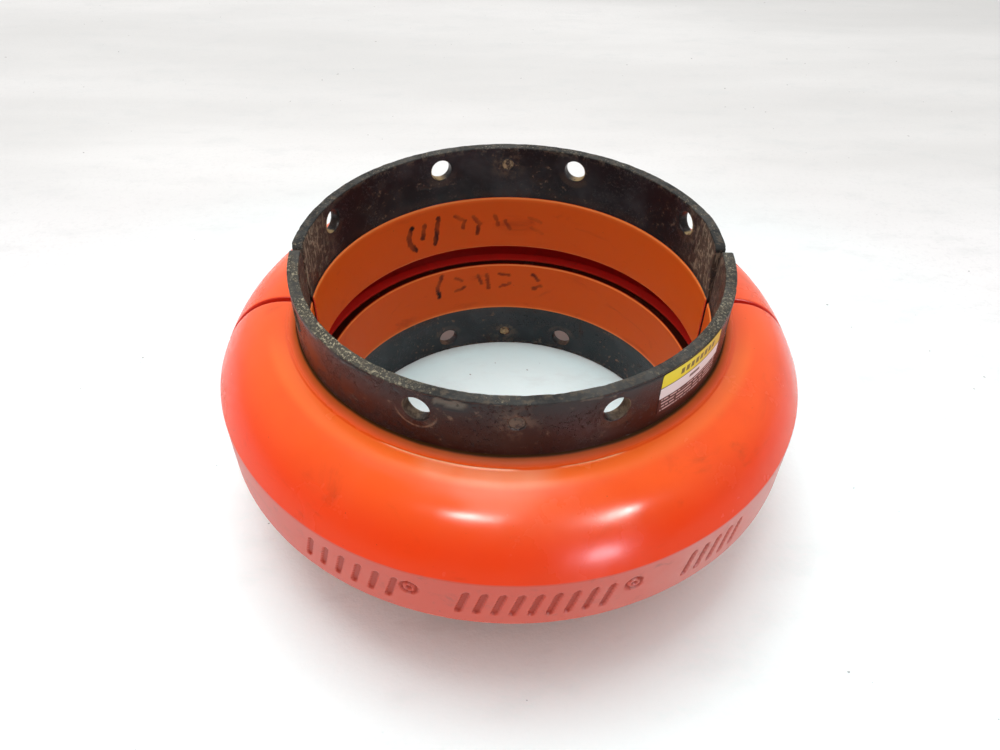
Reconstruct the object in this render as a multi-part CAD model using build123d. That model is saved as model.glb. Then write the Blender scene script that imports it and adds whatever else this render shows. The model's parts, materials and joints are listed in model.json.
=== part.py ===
from build123d import *
import os
from math import cos, radians, sin

# The flexible element of a split shaft coupling, in millimetres.
#
# Two half-round elastomer mouldings close into a hollow tyre around the gap between two shafts.
# Each moulding is bonded to a half-round steel shoe at either end. The shoes stick out past the
# elastomer and carry the radial holes for the screws that hold them to the shaft hubs.
#
# The origin is the centre of the element on the shaft axis. +Z runs along the shaft axis towards
# the upper shoes, the two halves part in the XZ plane, and the front half is on the -Y side.

# Steel shoes
SHOE_RADIUS = 127.0  # outer face
SHOE_THICKNESS = 6.35  # of the bare end, which the hub fits into
SHOE_BORE = SHOE_RADIUS - SHOE_THICKNESS
SEAT_DEPTH = 0.6  # how far the hub's seat is turned out of the bore
BURIED_BORE = SHOE_BORE - SEAT_DEPTH
SHOE_END = 88.0  # outer rim, above the middle plane
SHOE_ROOT = 11.0  # inner rim, buried in the elastomer
RIM_CHAMFER = 0.8

# Screw holes and moulding plugs, all on one line round each shoe
HOLE_RADIUS = 7.15
HOLES_PER_RING = 8
HOLE_HEIGHT = SHOE_END - 12.7
PLUG_RADIUS = 4.0

# Elastomer: outside
TYRE_RADIUS = 177.8
BAND_HALF_WIDTH = 16.5  # flat band round the outside
COLLAR_TOP = 53.0  # where the elastomer meets the outer face of the shoe
SHOULDER_RADIUS = 133.0  # start of the rounded shoulder
SHOULDER_TOP = 50.4
SHOULDER_PULL = 27.0  # reach of the curve from its inner end
SHOULDER_LIFT = 4.0  # degrees that it rises there
CREASE_PULL = 12.0  # reach of the curve from the edge of the flat band
CREASE_ANGLE = 64.0  # degrees between the shoulder and the radial direction at the band

# Elastomer: inside
LINING = 1.0  # thickness of the skin over the bore of the shoe
LINING_BORE = BURIED_BORE - LINING
LINING_TOP = 50.0  # level with the step at the bottom of the hub's seat
FOOT = 8.0  # half of the opening between the two feet
FOOT_ROUND = 1.4
GROOVE_DEPTH = 1.2
GROOVE_MARGIN = 0.6
FOOT_RADIUS = 135.0  # where the foot ends and the hollow begins
HOLLOW_RADIUS = 162.0
HOLLOW_INNER_PULL = 27.0
HOLLOW_OUTER_PULL = 40.0

SPLIT_GAP = 3.5  # between the two halves

# Blank label on the front upper shoe
LABEL_START = -56.0  # degrees round from +X
LABEL_SWEEP = 23.0
LABEL_BOTTOM = 57.5
LABEL_TOP = 86.0
LABEL_THICKNESS = 0.25

FRONT = -1
BACK = 1
UPPER = 1
LOWER = -1


def half_space(side):
    """Everything on one side of the split, clear of it by half the gap."""
    reach = 4 * TYRE_RADIUS
    return Pos(0, side * (reach + SPLIT_GAP) / 2, 0) * Box(reach, reach, reach)


def ring(inner, outer, low, high):
    """A full ring of rectangular section."""
    section = Polygon((inner, low), (outer, low), (outer, high), (inner, high), align=None)
    return revolve(Plane.XZ * section, Axis.Z, 360)


def radial_rod(radius, angle, height):
    """A rod through the shaft axis, long enough to cut both sides of a ring."""
    direction = (cos(radians(angle)), sin(radians(angle)), 0)
    return Plane(origin=(0, 0, height), z_dir=direction) * Cylinder(radius, 3 * SHOE_RADIUS)


def shoe_ring():
    """Both upper shoes as one ring, with the hub's seat, the screw holes and the plug holes."""
    section = Polygon(
        (BURIED_BORE, SHOE_ROOT),
        (SHOE_RADIUS, SHOE_ROOT),
        (SHOE_RADIUS, SHOE_END),
        (SHOE_BORE, SHOE_END),
        (SHOE_BORE, LINING_TOP),
        (BURIED_BORE, LINING_TOP),
        align=None,
    )
    rim = section.vertices().sort_by(Axis.Y)[-2:]
    body = revolve(Plane.XZ * chamfer(rim, RIM_CHAMFER), Axis.Z, 360)
    pitch = 360 / HOLES_PER_RING
    for index in range(HOLES_PER_RING // 2):
        body -= radial_rod(HOLE_RADIUS, pitch * (index + 0.5), HOLE_HEIGHT)
    return body - radial_rod(PLUG_RADIUS, 90, HOLE_HEIGHT)


def plug_pair():
    """The front and back plugs of the upper shoes, flush with both faces."""
    wall = ring(SHOE_BORE, SHOE_RADIUS, SHOE_ROOT, SHOE_END)
    return wall & radial_rod(PLUG_RADIUS, 90, HOLE_HEIGHT)


def shoulder():
    """The rounded outside wall, from the edge of the flat band in to the shoe."""
    crease = radians(CREASE_ANGLE)
    lift = radians(SHOULDER_LIFT)
    return Bezier(
        (TYRE_RADIUS, BAND_HALF_WIDTH),
        (TYRE_RADIUS - CREASE_PULL * cos(crease), BAND_HALF_WIDTH + CREASE_PULL * sin(crease)),
        (SHOULDER_RADIUS + SHOULDER_PULL * cos(lift), SHOULDER_TOP + SHOULDER_PULL * sin(lift)),
        (SHOULDER_RADIUS, SHOULDER_TOP),
    )


def hollow_wall():
    """The inside wall, from the foot out to the middle plane."""
    return Bezier(
        (FOOT_RADIUS, FOOT),
        (FOOT_RADIUS, FOOT + HOLLOW_INNER_PULL),
        (HOLLOW_RADIUS, HOLLOW_OUTER_PULL),
        (HOLLOW_RADIUS, 0),
    )


def tyre_section():
    """The upper half of the elastomer's section, as radius and height."""
    groove_start = SHOE_BORE + GROOVE_MARGIN
    groove_end = SHOE_RADIUS - GROOVE_MARGIN
    collar = [
        ThreePointArc(
            (SHOULDER_RADIUS, SHOULDER_TOP),
            ((SHOE_RADIUS + SHOULDER_RADIUS) / 2, SHOULDER_TOP + 0.2 * (COLLAR_TOP - SHOULDER_TOP)),
            (SHOE_RADIUS, COLLAR_TOP),
        )
    ]
    pocket = [
        Polyline(
            (SHOE_RADIUS, COLLAR_TOP),
            (SHOE_RADIUS, SHOE_ROOT),
            (BURIED_BORE, SHOE_ROOT),
            (BURIED_BORE, LINING_TOP),
        )
    ]
    lining = [
        RadiusArc((BURIED_BORE, LINING_TOP), (LINING_BORE, LINING_TOP - LINING), -LINING),
        Line((LINING_BORE, LINING_TOP - LINING), (LINING_BORE, FOOT + FOOT_ROUND)),
        RadiusArc((LINING_BORE, FOOT + FOOT_ROUND), (LINING_BORE + FOOT_ROUND, FOOT), -FOOT_ROUND),
    ]
    foot = [
        Polyline(
            (LINING_BORE + FOOT_ROUND, FOOT),
            (groove_start, FOOT),
            (groove_start, FOOT + GROOVE_DEPTH),
            (groove_end, FOOT + GROOVE_DEPTH),
            (groove_end, FOOT),
            (FOOT_RADIUS, FOOT),
        )
    ]
    middle = [
        Polyline((HOLLOW_RADIUS, 0), (TYRE_RADIUS, 0), (TYRE_RADIUS, BAND_HALF_WIDTH)),
    ]
    outline = middle + [shoulder()] + collar + pocket + lining + foot + [hollow_wall()]
    return make_face(Wire([edge for piece in outline for edge in piece.edges()]))


def tyre_ring():
    """Both elastomer halves as one ring."""
    upper = Plane.XZ * tyre_section()
    section = upper + mirror(upper, about=Plane.XY)
    return revolve(section, Axis.Z, 360)


def blank_label():
    """A thin sheet that lies on the outer face of the front upper shoe."""
    strip = Polygon(
        (SHOE_RADIUS, LABEL_BOTTOM),
        (SHOE_RADIUS + LABEL_THICKNESS, LABEL_BOTTOM),
        (SHOE_RADIUS + LABEL_THICKNESS, LABEL_TOP),
        (SHOE_RADIUS, LABEL_TOP),
        align=None,
    )
    return Rot(0, 0, LABEL_START) * revolve(Plane.XZ * strip, Axis.Z, LABEL_SWEEP)


def write(node, body):
    """Write one node's solid to its own STEP file."""
    solid = body.solid()
    solid.label = node
    export_step(solid, f"parts/{node}.step")


os.makedirs("parts", exist_ok=True)

shoes = {"upper": shoe_ring()}
plugs = {"upper": plug_pair()}
shoes["lower"] = mirror(shoes["upper"], about=Plane.XY)
plugs["lower"] = mirror(plugs["upper"], about=Plane.XY)
tyre = tyre_ring()

for name, side in (("front", FRONT), ("back", BACK)):
    space = half_space(side)
    write(f"tyre_half_{name}", tyre & space)
    for level in ("upper", "lower"):
        write(f"{level}_shoe_{name}", shoes[level] & space)
        write(f"{level}_plug_{name}", plugs[level] & space)

write("blank_label", blank_label())
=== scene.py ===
import json
import math

import bmesh
import bpy
import numpy as np
from mathutils import Matrix, Vector


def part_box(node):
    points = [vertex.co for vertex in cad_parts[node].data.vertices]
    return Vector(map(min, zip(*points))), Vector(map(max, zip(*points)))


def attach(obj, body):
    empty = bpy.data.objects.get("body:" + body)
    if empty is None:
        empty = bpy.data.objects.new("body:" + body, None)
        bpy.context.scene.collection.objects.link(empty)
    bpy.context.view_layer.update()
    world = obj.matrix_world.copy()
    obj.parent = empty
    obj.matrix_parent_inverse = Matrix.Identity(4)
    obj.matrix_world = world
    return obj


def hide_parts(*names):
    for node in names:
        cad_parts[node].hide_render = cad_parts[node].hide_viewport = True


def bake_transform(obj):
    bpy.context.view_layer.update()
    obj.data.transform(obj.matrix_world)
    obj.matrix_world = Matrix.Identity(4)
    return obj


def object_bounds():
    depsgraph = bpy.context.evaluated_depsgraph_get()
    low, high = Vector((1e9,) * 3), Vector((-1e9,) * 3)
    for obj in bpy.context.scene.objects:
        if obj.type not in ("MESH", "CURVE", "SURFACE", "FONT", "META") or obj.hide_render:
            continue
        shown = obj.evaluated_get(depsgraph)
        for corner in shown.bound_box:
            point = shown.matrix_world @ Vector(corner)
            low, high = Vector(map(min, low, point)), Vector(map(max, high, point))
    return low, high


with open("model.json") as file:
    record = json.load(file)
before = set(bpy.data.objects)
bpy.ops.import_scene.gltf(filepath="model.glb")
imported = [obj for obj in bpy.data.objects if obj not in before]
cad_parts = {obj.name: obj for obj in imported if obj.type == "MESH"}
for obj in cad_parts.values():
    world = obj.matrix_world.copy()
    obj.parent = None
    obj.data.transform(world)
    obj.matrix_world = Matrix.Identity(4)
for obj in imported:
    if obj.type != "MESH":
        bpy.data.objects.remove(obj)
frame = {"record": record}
CAD_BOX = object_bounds()

# ---- Sizes ----
# Sizes, in metres. What the frame holds is read from it; the rest is detail that the CAD leaves out.
# The pieces are drawn for the front half, whose middle lies on -Y, and turned half round for the back.
MM = 0.001
MOUNTS = {m["name"]: m for m in frame["record"]["mounts"]}
SHOE_LOW, SHOE_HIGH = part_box("upper_shoe_front")
TYRE_LOW, TYRE_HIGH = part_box("tyre_half_front")
PLUG_LOW, PLUG_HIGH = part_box("upper_plug_front")
LABEL_LOW, LABEL_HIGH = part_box("blank_label")

SHOE_R = -SHOE_LOW.y
SHOE_TOP = SHOE_HIGH.z
SHOE_ROOT = SHOE_LOW.z
HALF_GAP = -SHOE_HIGH.y
BORE_R = MOUNTS["upper_hub_seat"]["dims"]["r_mm"] * MM
HOLE_R = MOUNTS["upper_screw_hole_1"]["dims"]["r_mm"] * MM
HOLE_Z = MOUNTS["upper_screw_hole_1"]["pos_m"][2]
HOLE_TURNS = [math.radians(a) for a in (-67.5, -22.5, 22.5, 67.5)]
PLUG_R = (PLUG_HIGH.x - PLUG_LOW.x) / 2
TYRE_R = -TYRE_LOW.y
COLLAR_TOP = TYRE_HIGH.z

# Elastomer section, as in the CAD solid
BAND = 16.5 * MM
SHOULDER_R, SHOULDER_Z = 133.0 * MM, 50.4 * MM
SHOULDER_PULL, SHOULDER_LIFT = 27.0 * MM, math.radians(4)
CREASE_PULL, CREASE_ANGLE = 12.0 * MM, math.radians(64)
SEAT_DEPTH = 0.6 * MM
BURIED_R = BORE_R - SEAT_DEPTH
LINING = 1.0 * MM
LINING_R = BURIED_R - LINING
LINING_TOP = 50.0 * MM
FOOT, FOOT_ROUND, FOOT_R = 8.0 * MM, 1.4 * MM, 135.0 * MM
GROOVE_DEPTH, GROOVE_MARGIN = 1.2 * MM, 0.6 * MM
HOLLOW_R = 162.0 * MM
HOLLOW_INNER_PULL, HOLLOW_OUTER_PULL = 27.0 * MM, 40.0 * MM
GROOVE_REACH = 5.75 * MM  # from the shoe's outer face in to the groove's inner side
FOOT_EDGE = 0.8 * MM
END_ROUND = 0.9 * MM  # rounding of the moulded edges at the split
UNEVEN = 0.35 * MM  # the surface wanders up to this far inside the CAD solid

# Pitch of the columns of a tyre wall: between the marks, beside them, and where there are none
FINE_PITCH, COARSE_PITCH, PLAIN_PITCH = 0.75 * MM, 3.2 * MM, 1.6 * MM
FINE_TURNS = (math.radians(-40), math.radians(45))

# A fine raised line that the mould left where the shoulder meets the collar
RIDGE_R = 133.9 * MM
RIDGE_HEIGHT = 0.52 * MM
RIDGE_WIDTH = 0.65 * MM

# Plain sunk bars on the flat band: (first, last) turn in degrees from the middle, number of bars.
# Between them are two plain ring-and-dot marks, whose edges have these radii. -1 fills the ring's inside.
MARK_GROUPS = (((-36.5, -20.3), 6), ((-8.5, 15.0), 9), ((30.3, 41.5), 5))
MARK_DOTS = (-17.2, 19.4)
DOT_EDGES = ((5.0 * MM, 1), (3.3 * MM, -1), (1.6 * MM, 1))
DOT_DROP = 5.0 * MM
MARK_EDGE = 0.3 * MM
MARK_LOW, MARK_HIGH = -9.5 * MM, 8.5 * MM
MARK_WIDTH = 3.4 * MM
MARK_DEPTH = 1.2 * MM
MARK_SLANT = math.tan(math.radians(16))

LIMIT = math.pi / 2  # turn from the middle of a half to its end
TOUCHING = 0.001 * MM
# The element's four quarters: side, turn from the front half, end, and 1 at the upper end or -1
CORNERS = [
    ("front", 0.0, "upper", 1),
    ("front", 0.0, "lower", -1),
    ("back", math.pi, "upper", 1),
    ("back", math.pi, "lower", -1),
]


# ---- Small tools ----
def smoothstep(low, high, value):
    t = np.clip((np.asarray(value, float) - low) / (high - low), 0, 1)
    return t * t * (3 - 2 * t)


def waves(points, size, seed, count=24):
    """Smooth random field of unit spread over points, whose bumps are about size across."""
    rng = np.random.default_rng(seed)
    directions = rng.normal(size=(count, 3))
    directions /= np.linalg.norm(directions, axis=1)[:, None]
    pitch = size * rng.uniform(0.6, 1.6, count)
    phase = rng.uniform(0, 2 * math.pi, count)
    total = np.zeros(len(points))
    for direction, length, offset in zip(directions, pitch, phase):
        total += np.cos(points @ direction * (math.pi / length) + offset)
    return total / math.sqrt(count / 2)


def curve_points(p0, p1, p2, p3, count, crowd=1.0):
    """Points on a cubic curve, from p0 to p3, crowded towards p3 where crowd is above 1."""
    t = 1 - np.linspace(1, 0, count)[:, None] ** crowd
    p0, p1, p2, p3 = (np.array(p, float) for p in (p0, p1, p2, p3))
    return (1 - t) ** 3 * p0 + 3 * (1 - t) ** 2 * t * p1 + 3 * (1 - t) * t**2 * p2 + t**3 * p3


def line_points(p0, p1, count):
    t = np.linspace(0, 1, count)[:, None]
    return np.array(p0, float) * (1 - t) + np.array(p1, float) * t


def arc_points(centre, radius, first, last, count):
    turn = np.radians(np.linspace(first, last, count))
    return np.array(centre) + radius * np.stack([np.cos(turn), np.sin(turn)], -1)


def new_object(name, data):
    made = bpy.data.objects.new(name, data)
    bpy.context.scene.collection.objects.link(made)
    return made


def new_mesh(name, points, faces):
    mesh = bpy.data.meshes.new(name)
    mesh.from_pydata(np.asarray(points).tolist(), [], faces)
    return mesh


def new_piece(mesh, sharp_degrees=38):
    """An object of a mesh, smooth except where its faces meet at more than an angle."""
    mesh.update()
    mesh.polygons.foreach_set("use_smooth", [True] * len(mesh.polygons))
    mesh.set_sharp_from_angle(angle=math.radians(sharp_degrees))
    return new_object(mesh.name, mesh)


def put_attributes(piece, **masks):
    """Numbers or vectors at each vertex, for the materials to read."""
    for name, values in masks.items():
        values = np.asarray(values, np.float32)
        kind, key = ("FLOAT", "value") if values.ndim == 1 else ("FLOAT_VECTOR", "vector")
        piece.data.attributes.new(name, kind, "POINT").data.foreach_set(key, values.ravel())


def coordinates(piece):
    flat = np.zeros(len(piece.data.vertices) * 3, np.float32)
    piece.data.vertices.foreach_get("co", flat)
    return flat.reshape(-1, 3).astype(float)


def turned(points, angle):
    """Points turned about the shaft axis."""
    c, s = math.cos(angle), math.sin(angle)
    x, y, z = points.T
    return np.stack([c * x - s * y, s * x + c * y, z], -1)


def place(piece, points, half_turn, level):
    """Moves a piece that is drawn as the front upper one to its own half and its own end."""
    points = turned(points, half_turn)
    points[:, 2] *= level
    if level < 0:
        piece.data.flip_normals()
    piece.data.vertices.foreach_set("co", points.astype(np.float32).ravel())
    piece.data.update()
    put_attributes(piece, rest=points)


def dress(piece, material, node, body=None):
    """Gives a piece its material and hides the CAD node that it replaces. It rides on a body if one is
    given.
    """
    piece.data.materials.append(material)
    if body:
        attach(piece, body)
    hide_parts(node)


def around(radius, turn, height):
    """Points at a radius and height, turned from the middle of the front half, -Y."""
    return np.stack([radius * np.sin(turn), -radius * np.cos(turn), height + 0 * turn], -1)


# ---- Elastomer halves ----
# Columns of an outline: radius, height, how far the point follows the shoe, and the masks of its zones
HEIGHT, FOLLOW, HOLLOW, LINED, LIP, GROOVE = range(1, 7)


def stretch(points, follow=1.0, hollow=0.0, lined=0.0, lip=0.0, groove=0.0):
    """A run of an outline, with the same zone masks for all its points."""
    masks = np.stack([np.full(len(points), m) + 0.0 for m in (1.0, hollow, lined, lip, groove)], -1)
    masks[:, 0] = follow
    return np.hstack([points, masks])


def run_share(points):
    """Share of the way along a run of points, 0 to 1."""
    steps = np.linalg.norm(np.diff(points, axis=0), axis=1)
    total = np.concatenate([[0], np.cumsum(steps)])
    return total / total[-1]


def arm_outline():
    """One side wall of the tyre, from the crease at the flat band, round the foot, to the middle of
    the hollow."""
    shoulder = curve_points(
        (TYRE_R, BAND),
        (TYRE_R - CREASE_PULL * math.cos(CREASE_ANGLE), BAND + CREASE_PULL * math.sin(CREASE_ANGLE)),
        (
            SHOULDER_R + SHOULDER_PULL * math.cos(SHOULDER_LIFT),
            SHOULDER_Z + SHOULDER_PULL * math.sin(SHOULDER_LIFT),
        ),
        (SHOULDER_R, SHOULDER_Z),
        70,
        crowd=1.8,
    )
    collar_mid = ((SHOE_R + SHOULDER_R) / 2, SHOULDER_Z + 0.2 * (COLLAR_TOP - SHOULDER_Z))
    collar = curve_points((SHOULDER_R, SHOULDER_Z), collar_mid, collar_mid, (SHOE_R, COLLAR_TOP), 12)
    steel = ((SHOE_R, COLLAR_TOP), (SHOE_R, SHOE_ROOT), (BURIED_R, SHOE_ROOT), (BURIED_R, LINING_TOP))
    pocket = [line_points(a, b, count)[1:] for a, b, count in zip(steel, steel[1:], (3, 2, 3))]
    lining_end = arc_points((BURIED_R, LINING_TOP - LINING), LINING, 90, 180, 7)
    lining = line_points((LINING_R, LINING_TOP - LINING), (LINING_R, FOOT + FOOT_ROUND), 42)
    foot_round = arc_points((LINING_R + FOOT_ROUND, FOOT + FOOT_ROUND), FOOT_ROUND, 180, 270, 8)
    groove_in, groove_out = SHOE_R - GROOVE_REACH, SHOE_R - GROOVE_MARGIN
    floor = FOOT + GROOVE_DEPTH
    groove = line_points((groove_in + 0.2 * MM, floor), (groove_out - 0.2 * MM, floor), 4)
    foot = line_points((groove_out, FOOT), (FOOT_R - FOOT_EDGE, FOOT), 4)
    foot_edge = arc_points((FOOT_R - FOOT_EDGE, FOOT + FOOT_EDGE), FOOT_EDGE, 290, 350, 4)
    hollow = curve_points(
        (FOOT_R, FOOT + 0.9 * MM),
        (FOOT_R, FOOT + HOLLOW_INNER_PULL),
        (HOLLOW_R, HOLLOW_OUTER_PULL),
        (HOLLOW_R, 0),
        24,
    )
    return np.vstack(
        [
            stretch(shoulder, follow=smoothstep(0.02, 0.92, run_share(shoulder))),
            stretch(collar[1:]),
            stretch(np.vstack(pocket)),
            stretch(lining_end[1:], lined=1, lip=1),
            stretch(lining[1:], lined=1),
            stretch(foot_round[1:-1], lined=1, lip=1),
            stretch(line_points((LINING_R + FOOT_ROUND, FOOT), (groove_in, FOOT), 2), groove=0.6),
            stretch(groove, groove=1),
            stretch(foot, hollow=1),
            stretch(foot_edge, hollow=1),
            stretch(hollow, follow=smoothstep(0.02, 0.92, 1 - run_share(hollow)), hollow=1),
        ]
    )


def tyre_outlines():
    """Closed outlines of the two pieces of a tyre half, which meet at the flat band's lower edge. Both run
    up the outside and back down the inside."""
    arm = arm_outline()
    below = arm.copy()
    below[:, HEIGHT] *= -1
    last = len(arm) - 1
    cut = last - np.argmax(below[::-1, HEIGHT] < -BAND)
    share = (-BAND - below[cut, HEIGHT]) / (below[cut + 1, HEIGHT] - below[cut, HEIGHT])
    inner = below[cut, :2] * (1 - share) + below[cut + 1, :2] * share
    seam = stretch(line_points(inner, (TYRE_R, -BAND), 4), follow=0)
    seam[0, HOLLOW] = 1
    band = stretch(line_points((TYRE_R, -BAND), (TYRE_R, BAND), 46), follow=0)
    upper_end = below[last - 1 : cut : -1].copy()
    upper_end[:, FOLLOW] = 0
    upper = np.vstack([band[:-1], arm, upper_end, seam[:-1]])
    lower = np.vstack([below[: cut + 1], seam[:-1]])[::-1]
    return upper, lower


def tyre_turns(marked):
    """Turns of the columns of a tyre half, as shares of it: close together where the marks are."""
    fine, coarse = (FINE_PITCH, COARSE_PITCH) if marked else (PLAIN_PITCH, PLAIN_PITCH)
    stops = (-LIMIT, *FINE_TURNS, LIMIT)
    turns = [-LIMIT]
    for first, last, pitch in zip(stops, stops[1:], (coarse, fine, coarse)):
        turns.extend(np.linspace(first, last, int((last - first) / (pitch / TYRE_R)))[1:])
    turns = np.array(turns)
    edge = np.array([0.0, 0.12, 0.3, 0.55, 1.0]) * END_ROUND / SHOE_R
    inner = turns[np.abs(turns) < LIMIT - edge[-1] * 1.5]
    return np.concatenate([-LIMIT + edge, inner, LIMIT - edge[::-1]]) / LIMIT


def outward(outline):
    """Outward unit normal of a closed outline at each point."""
    ahead = np.roll(outline, -1, axis=0) - outline
    behind = outline - np.roll(outline, 1, axis=0)
    ahead /= np.maximum(np.linalg.norm(ahead, axis=1), 1e-12)[:, None]
    behind /= np.maximum(np.linalg.norm(behind, axis=1), 1e-12)[:, None]
    tangent = ahead + behind
    tangent /= np.maximum(np.linalg.norm(tangent, axis=1), 1e-9)[:, None]
    return np.stack([tangent[:, 1], -tangent[:, 0]], -1)


def block_distance(x, z, half_width, half_height, radius):
    """Signed distance from the edge of a rounded rectangle, positive outside."""
    dx = np.maximum(np.abs(x) - half_width + radius, 0)
    dz = np.maximum(np.abs(z) - half_height + radius, 0)
    inside = np.minimum(np.maximum(np.abs(x) - half_width, np.abs(z) - half_height) + radius, 0)
    return np.hypot(dx, dz) + inside - radius


def mark_depth(turn, height):
    """How far the flat band is sunk by its plain bars and dots."""
    depth = np.zeros_like(turn)
    middle, half_height = (MARK_LOW + MARK_HIGH) / 2, (MARK_HIGH - MARK_LOW) / 2
    for (first, last), count in MARK_GROUPS:
        for degrees in np.linspace(first, last, count):
            x = (turn - math.radians(degrees)) * TYRE_R - (height - middle) * MARK_SLANT
            edge = block_distance(x, height - middle, MARK_WIDTH / 2, half_height, MARK_WIDTH / 2)
            depth += MARK_DEPTH * smoothstep(MARK_EDGE, -MARK_EDGE, edge)
    for degrees in MARK_DOTS:
        x = (turn - math.radians(degrees)) * TYRE_R
        away = np.hypot(x, height - (MARK_HIGH - DOT_DROP))
        for radius, way in DOT_EDGES:
            depth += way * MARK_DEPTH * smoothstep(radius + MARK_EDGE, radius - MARK_EDGE, away)
    return depth


INK_SPREAD = 0.68  # half of the inked width, as a share of a stroke's width
# Plain strokes of a felt pen on the linings of the back half: points as turn in degrees from its middle
# and height in millimetres, then the stroke's width in millimetres and how strong the ink still is.
PEN_STROKES = (
    (((-34.6, 37), (-35.9, 31), (-35.6, 24), (-33.6, 18)), 2.6, 1.0),
    (((-29.6, 36), (-30.6, 26)), 2.3, 0.95),
    (((-24.4, 39), (-25.9, 19)), 2.5, 1.0),
    (((-18.3, 38), (-15.0, 33), (-15.6, 27)), 1.9, 0.75),
    (((-11.6, 35), (-9.6, 29), (-10.6, 21)), 2.1, 0.8),
    (((-4.2, 35), (-3.0, 27)), 1.9, 0.7),
    (((-0.6, 31), (1.2, 24)), 1.7, 0.5),
    (((8.0, 34), (11.8, 31)), 2.0, 0.28),
    (((8.8, 26), (12.4, 22)), 2.0, 0.25),
)
LOW_PEN_STROKES = (
    (((-24.0, -12), (-26.0, -22), (-25.4, -31)), 2.1, 1.0),
    (((-18.8, -17), (-16.2, -20)), 1.6, 0.75),
    (((-18.9, -29), (-15.6, -27)), 1.7, 0.8),
    (((-10.4, -17), (-9.0, -25)), 1.7, 0.7),
    (((-7.0, -17), (-6.4, -30)), 1.9, 0.85),
    (((-2.2, -17), (1.2, -18)), 1.6, 0.8),
    (((-2.0, -29), (1.6, -26)), 1.6, 0.8),
    (((10.0, -16), (12.2, -21)), 2.0, 0.9),
    (((10.4, -30), (13.2, -26)), 2.0, 0.95),
)


def ink_mask(turn, height, strokes):
    """How inked each point of the lining is by the pen strokes."""
    x = turn * LINING_R
    ink = np.zeros_like(x)
    points = np.stack([x, height, 0 * x], -1)
    ragged = waves(points, 1.6 * MM, 31) * 0.25 * MM
    fade = 0.8 + 0.2 * waves(points, 6 * MM, 32)
    for nodes, width, strength in strokes:
        nodes = np.array([(math.radians(a) * LINING_R, h * MM) for a, h in nodes])
        nearest = np.full_like(x, 1.0)
        for start, end in zip(nodes[:-1], nodes[1:]):
            along = end - start
            share = ((x - start[0]) * along[0] + (height - start[1]) * along[1]) / (along @ along)
            share = np.clip(share, 0, 1)
            away = np.hypot(x - start[0] - share * along[0], height - start[1] - share * along[1])
            nearest = np.minimum(nearest, away)
        half = width * MM * INK_SPREAD
        inked = smoothstep(half + 0.5 * MM, half - 0.3 * MM, nearest + ragged)
        ink = np.maximum(ink, strength * inked)
    return np.clip(ink * np.clip(fade, 0.4, 1), 0, 1)


def ridge_strength(turn):
    """How strong the mould's fine line is round the front, in two runs, and faint elsewhere; the painted
    highlight on its crest follows it.
    """
    turn = np.degrees(turn)
    left = smoothstep(-34, -26, turn) * smoothstep(4, -2, turn)
    right = smoothstep(6, 11, turn) * smoothstep(27, 20, turn)
    return 0.15 + 0.85 * np.maximum(left, right)


def tyre_mesh(name, outline, columns, half_turn):
    """Turns a closed outline through half a circle. The moulded edges at both ends are rounded."""
    section = outline[:, :2]
    reach = LIMIT - np.arcsin(HALF_GAP / section[:, 0])
    normals = outward(section)
    on_band = np.abs(section[:, 0] - TYRE_R) < TOUCHING
    normals[on_band] = (1, 0)
    away = (1 - np.abs(columns))[:, None] * reach[None] * section[None, :, 0]
    level = np.clip(1 - away / END_ROUND, 0, 1)
    inset = END_ROUND * (1 - np.sqrt(1 - level**2))
    in_pocket = (section[:, 0] > BURIED_R - TOUCHING) & (section[:, 0] < SHOE_R + TOUCHING)
    in_pocket &= np.abs(section[:, 1]) > SHOE_ROOT - TOUCHING
    in_wall = (np.abs(section[:, 1] + BAND) < TOUCHING) & (section[:, 0] < TYRE_R - TOUCHING)
    fixed = in_pocket | in_wall
    inset[:, fixed] = 0
    radius = section[None, :, 0] - inset * normals[None, :, 0]
    height = section[None, :, 1] - inset * normals[None, :, 1]
    turn = columns[:, None] * reach[None]
    radius[:, on_band] -= mark_depth(turn[:, on_band], height[:, on_band])
    flat = np.stack([radius.ravel(), turn.ravel(), height.ravel()], -1)
    points = around(flat[:, 0], flat[:, 1], flat[:, 2])
    uneven = waves(points, 60 * MM, 5) * 0.12 * MM + waves(points, 11 * MM, 6) * 0.025 * MM
    sunk = np.where(np.tile(fixed, len(columns)), 0, np.minimum(uneven, UNEVEN) - UNEVEN)
    on_shoulder = np.abs(flat[:, 2]) > SHOULDER_Z - 2 * MM
    ridge = np.exp(-(((flat[:, 0] - RIDGE_R) / RIDGE_WIDTH) ** 2))
    ridge *= 0.85 + 0.15 * waves(points, 50 * MM, 8)
    crest = np.where(on_shoulder, np.clip(ridge, 0, 1) * ridge_strength(flat[:, 1]), 0)
    sunk += RIDGE_HEIGHT * crest
    out_r, out_z = np.tile(normals[:, 0], len(columns)), np.tile(normals[:, 1], len(columns))
    points = around(flat[:, 0] + out_r * sunk, flat[:, 1], flat[:, 2] + out_z * sunk)
    points = turned(points, half_turn)
    count = len(section)
    faces = []
    for c in range(len(columns) - 1):
        a, b = c * count, (c + 1) * count
        faces += [(a + i, b + i, b + (i + 1) % count, a + (i + 1) % count) for i in range(count)]
    faces.append(tuple(range(count)))
    faces.append(tuple(len(points) - 1 - i for i in range(count)))
    piece = new_piece(new_mesh(name, points, faces), 40)
    put_attributes(piece, rest=points, crest=crest)
    return piece, flat


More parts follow.
